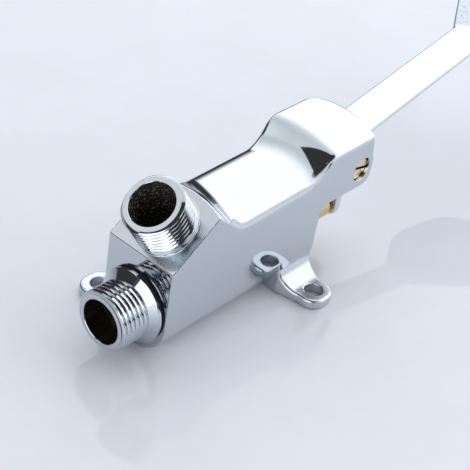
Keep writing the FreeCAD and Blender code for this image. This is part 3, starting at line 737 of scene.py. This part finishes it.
def returnSpring():
    # A round wire along a helix: its centre goes round at even radius while it climbs evenly, and each
    # section stands square to it. Flat strips close the two small end rings.
    low, high = boxMm("return_spring")
    wire, climb = spring["wire"] / 2, high[1] - low[1] - spring["wire"]
    cap = np.sin(np.linspace(0, math.pi / 2, spring["capRings"] + 1))[:-1]
    share = np.concatenate([0 * cap, np.linspace(0, 1, spring["steps"]), 0 * cap + 1])
    size = np.concatenate([cap, np.ones(spring["steps"]), cap[::-1]])
    size = np.maximum(size, spring["capLeast"]) * wire
    angle = 2 * math.pi * spring["turns"] * share
    out = np.stack([np.cos(angle), 0 * angle, np.sin(angle)], -1)
    ahead = np.stack([-np.sin(angle), 0 * angle, np.cos(angle)], -1)
    rise = climb / (2 * math.pi * spring["turns"] * spring["radius"])
    along = (ahead + np.array([0, rise, 0])) / math.hypot(1, rise)
    other = np.cross(along, out)
    centre = spring["radius"] * out + np.array([0, 1, 0]) * (low[1] + wire + climb * share)[:, None]
    turn = np.linspace(0, 2 * math.pi, spring["around"], endpoint=False)
    points = (centre[:, None] + size[:, None, None] * (out[:, None] * np.cos(turn)[:, None]
              + other[:, None] * np.sin(turn)[:, None])) + np.array([0, 0, valveZ])
    count, last = spring["around"], spring["around"] * (len(share) - 1)
    sides = closedGrid(len(share), count)[:last]
    k = np.arange(count // 2 - 1)
    end = np.stack([k, k + 1, count - 2 - k, count - 1 - k], -1)
    faces = np.concatenate([sides, end, end[:, ::-1] + last])
    piece = pieceFrom("returnSpring", points.reshape(-1, 3), faces[:, ::-1])
    coat(piece, metal("springWire", steel))
    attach(piece, "valve")
    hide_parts("return_spring")
    valveZ * metre
    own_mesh(piece)


# Pedal lever

lever = {
    "tilt": 12.2, "thickness": 4.0, "edge": 1.95, "topAbovePivot": 6.3, "hubRadius": 5.4, "hubEdge": 0.5,
    "hubFillet": 0.8, "armPast": 3, "webDrop": 0.5,
    "legFront": -0.8, "legThickness": 3.3, "legTop": 2.0, "legBottomZ": 12.0, "legCorner": 3.0,
    "innerCorner": 1.5, "bushRadius": 4.15, "bushEdge": 0.3, "pedalStart": 86.2, "neck": 15.0,
    "pedalWidth": 50.0, "flare": 29.0, "pedalLength": 98.0, "pedalThickness": 3.0, "pedalShoulder": 60.0,
    "pedalCorner": 24.0, "pedalEdge": 1.2, "neckEdge": 1.45, "neckRun": 12, "border": 0.7,
    "tongueRadius": 8.2, "tongueOut": 81.5, "pitDepth": 0.11, "fade": 0.8, "startFade": 1,
}
# Crossed waves that give the pebbles: each one's direction, length and shift follow from its number
pebbles = {"waves": 9, "turn": 0.7, "sway": 0.31, "swayStep": 5.1, "length": 2.2, "lengthSpread": 0.45,
           "lengthStep": 2.3, "shift": 1.7, "level": 3.0, "cut": (-0.1, 0.9)}
# The duller ground between the pebbles
ground = {"colour": (0.47, 0.50, 0.545), "share": 0.75, "speckShare": 0.25, "rough": 0.25, "speckScale": 620,
          "speckFrom": (0.42, 0.58)}
# Grid lines across, out along the arm and up
leverGrid = {
    "wallIn": 1.8, "wallOut": 0.6, "neckIn": 2, "past": 1.1, "endPast": 1.2,
    "acrossSteps": (0.75, 0.4, 0.62, 0), "out": [(-9.1, 0.5), (12, 1.4)], "pedalStep": 0.62,
    "up": [(-27.1, 0.9), (-8, 0.6), (1.6, 0.3)],
}


def pedalPlan(across, out):
    # Signed distance to the pedal's outline: half the width is a straight flare from the neck, then an arc
    # that meets the straight side, and the end's two corners are arcs.
    half, neck = lever["pedalWidth"] / 2, lever["neck"] / 2
    flare, radius = math.radians(lever["flare"]), lever["pedalShoulder"]
    arcEnd = lever["pedalStart"] + (half - neck) / math.tan(flare) + radius * math.tan(flare / 2)
    turn = np.arcsin(np.clip((arcEnd - out) / radius, 0, math.sin(flare)))
    straight = np.clip(arcEnd - radius * math.sin(flare) - out, 0, None) * math.tan(flare)
    width = half - radius * (1 - np.cos(turn)) - straight
    side = (np.abs(across) - width) * np.cos(turn)
    return roundMax(side, out - lever["pedalStart"] - lever["pedalLength"], lever["pedalCorner"])


def stipple(across, out):
    # Sum of crossed sine waves at uneven angles and lengths; its crests are the pebbles.
    waves = 0
    for index in range(pebbles["waves"]):
        turn = pebbles["turn"] * index + pebbles["sway"] * math.sin(pebbles["swayStep"] * index)
        length = pebbles["length"] + pebbles["lengthSpread"] * math.sin(pebbles["lengthStep"] * index)
        size = 2 * math.pi / length
        place = across * math.cos(turn) + out * math.sin(turn)
        waves = waves + np.sin(size * place + pebbles["shift"] * index)
    return waves / pebbles["level"]


def pitsOf(across, out, plan):
    # Depth between the pebbles; the arm's round end and a narrow border stay smooth.
    tongue = np.hypot(across, out - lever["tongueOut"]) - lever["tongueRadius"]
    inside = smoothStep(0, lever["fade"], -plan - lever["border"]) * smoothStep(0, lever["fade"], tongue)
    inside = inside * smoothStep(lever["pedalStart"], lever["pedalStart"] + lever["startFade"], out)
    return lever["pitDepth"] * (1 - smoothStep(*pebbles["cut"], stipple(across, out))) * inside


def armSolid(across, out, up):
    # Arm, web, hub and leg: one side profile of even width.
    top, turn = lever["topAbovePivot"], math.radians(lever["tilt"])
    y = -out * math.cos(turn) + up * math.sin(turn)
    z = out * math.sin(turn) + up * math.cos(turn)
    arm = np.maximum(np.maximum(up - top, top - lever["thickness"] - up),
                     np.maximum(-out, out - lever["pedalStart"] - lever["armPast"]))
    hub = np.hypot(y, z) - lever["hubRadius"]
    web = np.maximum(np.maximum(-out, out - 2 * lever["hubRadius"]),
                     np.maximum(-up, up - top + lever["webDrop"]))
    leg = np.maximum(y - lever["legFront"], lever["legFront"] - lever["legThickness"] - y)
    leg = np.maximum(leg, z - lever["legTop"])
    profile = roundMin(np.minimum(arm, web), hub, lever["hubFillet"])
    profile = roundMin(profile, leg, lever["innerCorner"])
    sides = roundMax(np.abs(across) - leverHalf, lever["legBottomZ"] - pivotZ - z, lever["legCorner"])
    past = smoothStep(lever["hubRadius"], 2 * lever["hubRadius"], out)
    return roundMax(profile, sides, between(lever["hubEdge"], lever["edge"], past))


def leverSolid(across, out, up):
    # In the lever's own frame: across, out along the arm, up square to it, all from the pivot. The pedal is a
    # plate with the arm's top plane, and the bush's hole goes through the hub.
    top, plan = lever["topAbovePivot"], pedalPlan(across, out)
    plate = np.maximum(up - top + pitsOf(across, out, plan), top - lever["pedalThickness"] - up)
    past = out - lever["pedalStart"]
    rim = between(lever["neckEdge"], lever["pedalEdge"], smoothStep(0, lever["neckRun"], past))
    pedal = np.maximum(roundMax(plan, plate, rim), -past)
    hole = np.hypot(out, up) - lever["bushRadius"]
    return roundMax(np.minimum(armSolid(across, out, up), pedal), -hole, lever["bushEdge"])


def leverMetal():
    # Polished plate; between the pebbles the pedal is duller, greyer and a little blue.
    shade = Shade(bpy.data.materials.new("chromeLever"))
    grain, height, plain = plateOf(shade, leverChrome)
    x, y, z = shade.split(shade.place())
    turn, start = math.radians(lever["tilt"]), lever["pedalStart"]
    out = (z - float(pivotZ) * metre) * math.sin(turn) - (y - float(pivotY) * metre) * math.cos(turn)
    reach = out - lever["tongueOut"] * metre
    tongue = (x * x + reach * reach) ** 0.5
    field = tongue.soft(lever["tongueRadius"] * metre, (lever["tongueRadius"] + lever["fade"]) * metre)
    field = field * out.soft(start * metre, (start + lever["startFade"]) * metre)
    speck = shade.noise(ground["speckScale"], 2.0, 0.6).soft(*ground["speckFrom"]) * field
    dulled = field * ground["share"] + speck * ground["speckShare"]
    return shade.finish({
        "Base Color": shade.blend(dulled, plain, tinted(ground["colour"])), "Metallic": 1.0,
        "Roughness": leverChrome["rough"] + field * ground["rough"], "Normal": shade.bump(height)})


def makeLever():
    places = (0, leverHalf - leverGrid["wallIn"], leverHalf + leverGrid["wallOut"],
              lever["pedalWidth"] / 2 + leverGrid["past"])
    across = bothSides(graded(list(zip(places, leverGrid["acrossSteps"]))))
    end = lever["pedalStart"] + lever["pedalLength"] + leverGrid["endPast"]
    start = lever["pedalStart"] - leverGrid["neckIn"]
    out = graded(leverGrid["out"] + [(start, leverGrid["pedalStep"]), (end, 0)])
    up = graded(leverGrid["up"] + [(lever["topAbovePivot"] + leverGrid["past"], 0)])
    points, faces, normals = skinOf(leverSolid, across, out, up)
    turn = math.radians(lever["tilt"])
    frameOf = np.array([[1, 0, 0], [0, -math.cos(turn), math.sin(turn)], [0, math.sin(turn), math.cos(turn)]])
    points = points @ frameOf.T + np.array([0, pivotY, pivotZ])
    piece = pieceFrom("pedalLever", points, faces[:, ::-1], normals @ frameOf.T)
    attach(piece, "lever")
    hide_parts("pedal_lever")
    coat(piece, leverMetal())


# The CAD nodes that stay

# Grain tones of the head, and a painted shade tone below its rim
screwHead = {"dark": (0.80, 0.63, 0.36), "light": (0.92, 0.78, 0.52), "deep": (0.10, 0.07, 0.03),
             "deepFrom": (0.12, 0.5)}


def screwMetal():
    # Slotted head: light brass in front, painted shade below the rim where the slot and the recess are.
    shade = Shade(bpy.data.materials.new("screwBrass"))
    grain = shade.noise(brass["grainScale"], 3.0)
    start, end = ((screwLow[0] + depth) * metre for depth in screwHead["deepFrom"])
    # Painted shade: dark below the rim, over the slot and the recess
    deep = shade.split(shade.place())[0].soft(start, end)
    face = shade.blend(grain, tinted(screwHead["dark"]), tinted(screwHead["light"]))
    return shade.finish({
        "Base Color": shade.blend(deep, face, tinted(screwHead["deep"])), "Metallic": 1.0,
        "Roughness": brass["rough"] + grain * brass["roughSpread"]})


def dressNodes():
    finishes = {
        "brass": metal("turnedBrass", brass), "plunger_brass": metal("plungerBrass", brass),
        "screw_brass": screwMetal(), "spring_steel": metal("springSteel", steel),
        "black_rubber": dull("blackRubber", rubber), "white_plastic": dull("whitePlastic", plastic),
        "chrome_casting": metal("chromeUnder", chrome), "chrome_turned": metal("chromeUnderNipple", turned),
        "chrome_lever": metal("chromeUnderLever", chrome),
    }
    for part in frame["record"]["subparts"]:
        node = frame["nodes"][part["node"]]
        node.data.materials.clear()
        coat(node, finishes[part["material_slot"]])


# Floor, light and camera

floorSet = {
    "radius": 420.0, "centre": (60.0, -120.0), "corners": 256, "rough": 0.045, "bend": 1.47,
    # The near and far tones hold painted shade: the floor is darker away from the camera
    "nearTone": (0.825, 0.84, 0.89), "farTone": (0.795, 0.81, 0.87), "run": (0.585, -0.811),
    "from": (-0.16, 0.20), "mottle": 22.0, "mottleFrom": (0.35, 0.65), "mottling": 0.97,
    "skew": 0.88, "bandEnds": ((-0.072, -0.050), (0.05, 0.08)), "bandStart": (0.050, 0.075),
    # The last tone is a painted dark reflection, seen only in the polished parts
    "bandTone": (0.035, 0.035, 0.035),
}


def makeFloor():
    # A round polished table, just large enough to fill the picture, its tone a little deeper far away as
    # painted shade.
    # One band of it beyond the body is a painted dark reflection: only the polished parts mirror it dark; the
    # camera sees it pale.
    turn = np.linspace(0, 2 * math.pi, floorSet["corners"], endpoint=False)
    rim = floorSet["radius"] * np.stack([np.cos(turn), np.sin(turn), 0 * turn], -1)
    rim = rim + np.array([*floorSet["centre"], 0])
    floor = pieceFrom("floor", rim, np.arange(floorSet["corners"])[None, :])
    shade = Shade(bpy.data.materials.new("paleFloor"))
    mottle = shade.noise(floorSet["mottle"], 4.0, 0.6).soft(*floorSet["mottleFrom"])
    x, y = shade.split(shade.place())[:2]
    # Painted shade: the floor's tone falls off away from the camera
    away = (x * floorSet["run"][0] + y * floorSet["run"][1]).soft(*floorSet["from"])
    tones = [np.array(floorSet[key]) for key in ("nearTone", "farTone")]
    light = shade.blend(away, *[tinted(tone) for tone in tones])
    dark = shade.blend(away, *[tinted(tone * floorSet["mottling"]) for tone in tones])
    across = y + x * floorSet["skew"]
    low, high = floorSet["bandEnds"]
    # Painted reflection: a dark band in the floor's colour that only glossy rays see
    paintedReflection = across.soft(*low) * (1 - across.soft(*high)) * x.soft(*floorSet["bandStart"])
    paintedReflection = paintedReflection * shade.node("LightPath", out=3)
    coat(floor, shade.finish({
        "Base Color": shade.blend(paintedReflection, shade.blend(mottle, dark, light), tinted(floorSet["bandTone"])),
        "Roughness": floorSet["rough"], "IOR": floorSet["bend"]}))


studio = {
    "room": (0.050, 0.051, 0.056), "roof": (0.92, 0.955, 1.0), "roofGain": 0.94, "backGain": 1.9,
    "backTurn": (-0.15, 0.80), "nearTurn": (0.0, 0.3), "edge": 0.17, "backEdge": 0.34,
    "frontGain": 0.24, "frontRise": (0.18, 0.50), "low": -0.10, "lowFar": 0.21, "farTurn": (0.15, 0.50),
    "lowFront": 0.20, "lowFarFront": 0.08, "frontTurn": (-0.2, 0.3),
    "lens": (-0.475, 0.657, 0.585), "lensWide": (0.58, 0.615), "lensSide": (-0.90, -0.70),
    "boxHigh": (0.60, 0.66), "boxLow": (-0.12, -0.04), "boxNear": 0.85, "boxFar": 0.35, "boxEdge": 0.08,
    "boxGain": 2.0, "skirt": 1.05, "beyond": (0.80, 0.83, 0.92),
}


def studioLight(x, y, z):
    # How bright a direction is, 0 in the dark room and 1 on white: the tent begins at a lower edge of its own
    # height on each side, and the soft box and the skirt count where they are brighter.
    far, front = x.soft(*studio["farTurn"]), y.soft(*studio["frontTurn"])
    back = (0 - y).soft(*studio["backTurn"])
    nearBack = (0 - y).soft(*studio["nearTurn"]) * (1 - far)
    low = far * studio["lowFar"] + front * studio["lowFront"] + far * front * studio["lowFarFront"]
    low = low + studio["low"]
    width = nearBack * (studio["backEdge"] - studio["edge"]) + studio["edge"]
    rise = ((z - low) / width).soft(0.0, 1.0)
    lens = x * studio["lens"][0] + y * studio["lens"][1] + z * studio["lens"][2]
    opening = lens.soft(*studio["lensWide"]) * x.soft(*studio["lensSide"])
    gain = back * (studio["backGain"] - studio["roofGain"]) + studio["roofGain"]
    gain = gain + y.soft(*studio["frontRise"]) * studio["frontGain"]
    tent = rise * (1 - opening) * gain
    box = z.soft(*studio["boxLow"]) * (1 - z.soft(*studio["boxHigh"]))
    box = box * (x + y * studio["boxNear"]).soft(0.0, studio["boxEdge"])
    box = box * (y * studio["boxFar"] - x).soft(0.0, studio["boxEdge"])
    return tent.math("MAXIMUM", box * studio["boxGain"]).math("MAXIMUM", nearBack * studio["skirt"])


def makeWorld():
    # Dark room with one wide white tent: brightest along the pedal side, dimmest overhead, with a dark
    # opening round the camera, one low soft box below it and a pale skirt under the tent on the near pedal
    # side. The camera alone sees a pale backdrop in its place; polished metal mirrors the room and the tent.
    world = bpy.data.worlds.new("studio")
    bpy.context.scene.world = world
    shade = Shade(world)
    light = studioLight(*shade.split(shade.node("TexCoord", out=0)))
    colour = shade.blend(light.math("MINIMUM", 1.0), tinted(studio["room"]), tinted(studio["roof"]))
    seen = shade.node("LightPath")
    colour = shade.blend(seen, colour, tinted(studio["beyond"]))
    strength = (light.math("MAXIMUM", 1.0) - 1) * (1 - seen) + 1
    background = shade.node("Background", None, {"Color": colour, "Strength": strength})
    shade.node("OutputWorld", None, {"Surface": background})


camera = {"place": (-188.8, 251.5, 254.0), "forward": (0.47477, -0.65742, -0.58514),
          "up": (0.48216, -0.36191, 0.79784), "lens": 89.33, "sensor": 36, "nearest": 0.01}


def makeCamera():
    data = bpy.data.cameras.new("camera")
    data.lens, data.sensor_width, data.clip_start = camera["lens"], camera["sensor"], camera["nearest"]
    eye = bpy.data.objects.new("camera", data)
    forward, up = np.array(camera["forward"]), np.array(camera["up"])
    turn = Matrix(np.stack([np.cross(forward, up), up, -forward], -1)).to_4x4()
    eye.matrix_world = Matrix.Translation(np.array(camera["place"]) * metre) @ turn
    bpy.context.scene.collection.objects.link(eye)
    bpy.context.scene.camera = eye


dressNodes()
print("cad nodes dressed")
makeBody()
outletNipple()
inletNipple()
returnSpring()
makeLever()
makeFloor()
makeWorld()
makeCamera()
bpy.context.scene.view_settings.view_transform = "Standard"
print("stage set")
